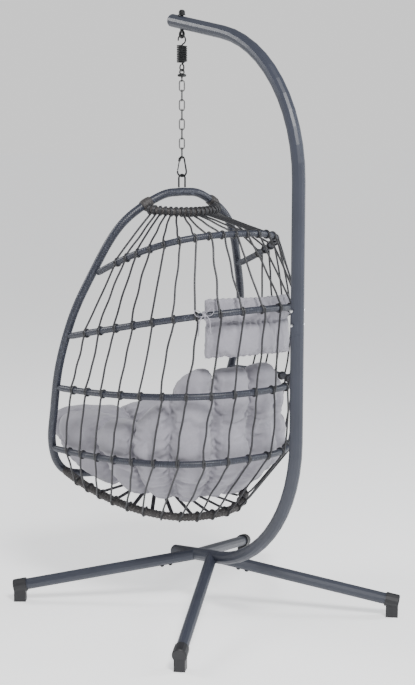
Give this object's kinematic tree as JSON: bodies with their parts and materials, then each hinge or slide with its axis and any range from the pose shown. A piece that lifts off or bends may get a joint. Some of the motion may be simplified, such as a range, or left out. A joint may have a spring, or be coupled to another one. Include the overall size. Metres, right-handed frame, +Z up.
{
  "type": "hanging egg chair",
  "caption": "Hanging egg chair: a corded basket with cushions, hung by a spring, swivel, chain and snap hook from a bent-tube stand on splayed legs",
  "frame": {"origin": "on the floor, below the middle of the object's box", "axes": "+Z is up, -Y is the way the seat faces, +Y is towards the pole, and +X is the sitter's left"},
  "size_m": [1.014, 1.0455, 1.9656],
  "materials": {
    "slate_paint": "satin",
    "slate_plastic": "satin",
    "black_steel": "satin",
    "silver_steel": "satin",
    "black_plastic": "matte",
    "slate_wicker": "satin",
    "brown_wicker": "matte",
    "grey_fabric": "matte"
  },
  "bodies": {
    "stand": {"upper_pole": "slate_paint", "lower_pole": "slate_paint", "pole_bolt_1": "silver_steel", "pole_bolt_2": "silver_steel", "arm_end_cap": "slate_plastic", "run_end_cap": "slate_plastic", "stub_front_left": "slate_paint", "leg_front_left": "slate_paint", "foot_front_left": "black_plastic", "stub_front_right": "slate_paint", "leg_front_right": "slate_paint", "foot_front_right": "black_plastic", "stub_back_left": "slate_paint", "leg_back_left": "slate_paint", "foot_back_left": "black_plastic", "stub_back_right": "slate_paint", "leg_back_right": "slate_paint", "foot_back_right": "black_plastic", "leg_bolt_front_left_1": "black_steel", "leg_bolt_front_left_2": "black_steel", "leg_bolt_front_right_1": "black_steel", "leg_bolt_front_right_2": "black_steel", "leg_bolt_back_left_1": "black_steel", "leg_bolt_back_left_2": "black_steel", "leg_bolt_back_right_1": "black_steel", "leg_bolt_back_right_2": "black_steel", "eye_bolt": "black_steel", "dome_nut": "black_steel"},
    "spring_hook": {"spring": "black_steel"},
    "yoke": {"swivel_yoke": "black_steel"},
    "swivel_body": {"swivel_eye": "black_steel"},
    "chain": {"chain_link_1": "black_steel", "chain_link_2": "black_steel", "chain_link_3": "black_steel", "chain_link_4": "black_steel", "chain_link_5": "black_steel", "chain_link_6": "black_steel", "chain_link_7": "black_steel", "chain_link_8": "black_steel", "carabiner_body": "black_steel", "carabiner_pin": "silver_steel"},
    "gate": {"carabiner_gate": "black_steel"},
    "basket": {"ring_eye": "black_steel", "hoop": "slate_wicker", "crown_band": "brown_wicker", "band_1": "slate_wicker", "band_2": "slate_wicker", "band_3": "slate_wicker", "band_4": "slate_wicker", "bottom_ring": "brown_wicker", "cord_net_1": "slate_wicker", "cord_net_2": "slate_wicker", "cord_net_3": "slate_wicker", "cord_net_4": "slate_wicker", "cord_net_5": "brown_wicker", "bottom_straps": "brown_wicker", "seat_cushion": "grey_fabric", "headrest_pillow": "grey_fabric", "pillow_tie_left": "grey_fabric", "pillow_tie_right": "grey_fabric"}
  },
  "joints": [
    {"name": "swing_fore_aft", "type": "hinge", "parent": "stand", "child": "spring_hook", "pos_m": [0, -0.0987, 1.8843], "axis": [1, 0, 0], "range_deg": [-10, 4]},
    {"name": "spring_stretch", "type": "slide", "parent": "spring_hook", "child": "yoke", "axis": [0, 0, -1], "range_m": [0, 0.03], "stiffness_N_per_m": 30000, "springref_m": -0.0075, "deforming": ["spring"]},
    {"name": "swivel", "type": "hinge", "parent": "yoke", "child": "swivel_body", "pos_m": [0, -0.0987, 1.7551], "axis": [0, 0, 1], "continuous": true},
    {"name": "swing_side", "type": "hinge", "parent": "swivel_body", "child": "chain", "pos_m": [0, -0.0987, 1.7394], "axis": [0, 1, 0], "range_deg": [-2.5, 2.5]},
    {"name": "gate_snap", "type": "hinge", "parent": "chain", "child": "gate", "pos_m": [0.0048, -0.1058, 1.4811], "axis": [0.829, 0.5592, 0], "range_deg": [0, 25], "stiffness_Nm_per_rad": 0.05, "springref_deg": -11.46},
    {"name": "basket_rock", "type": "hinge", "parent": "chain", "child": "basket", "pos_m": [0, -0.0987, 1.4336], "axis": [1, 0, 0], "range_deg": [-2.5, 2.5]}
  ]
}
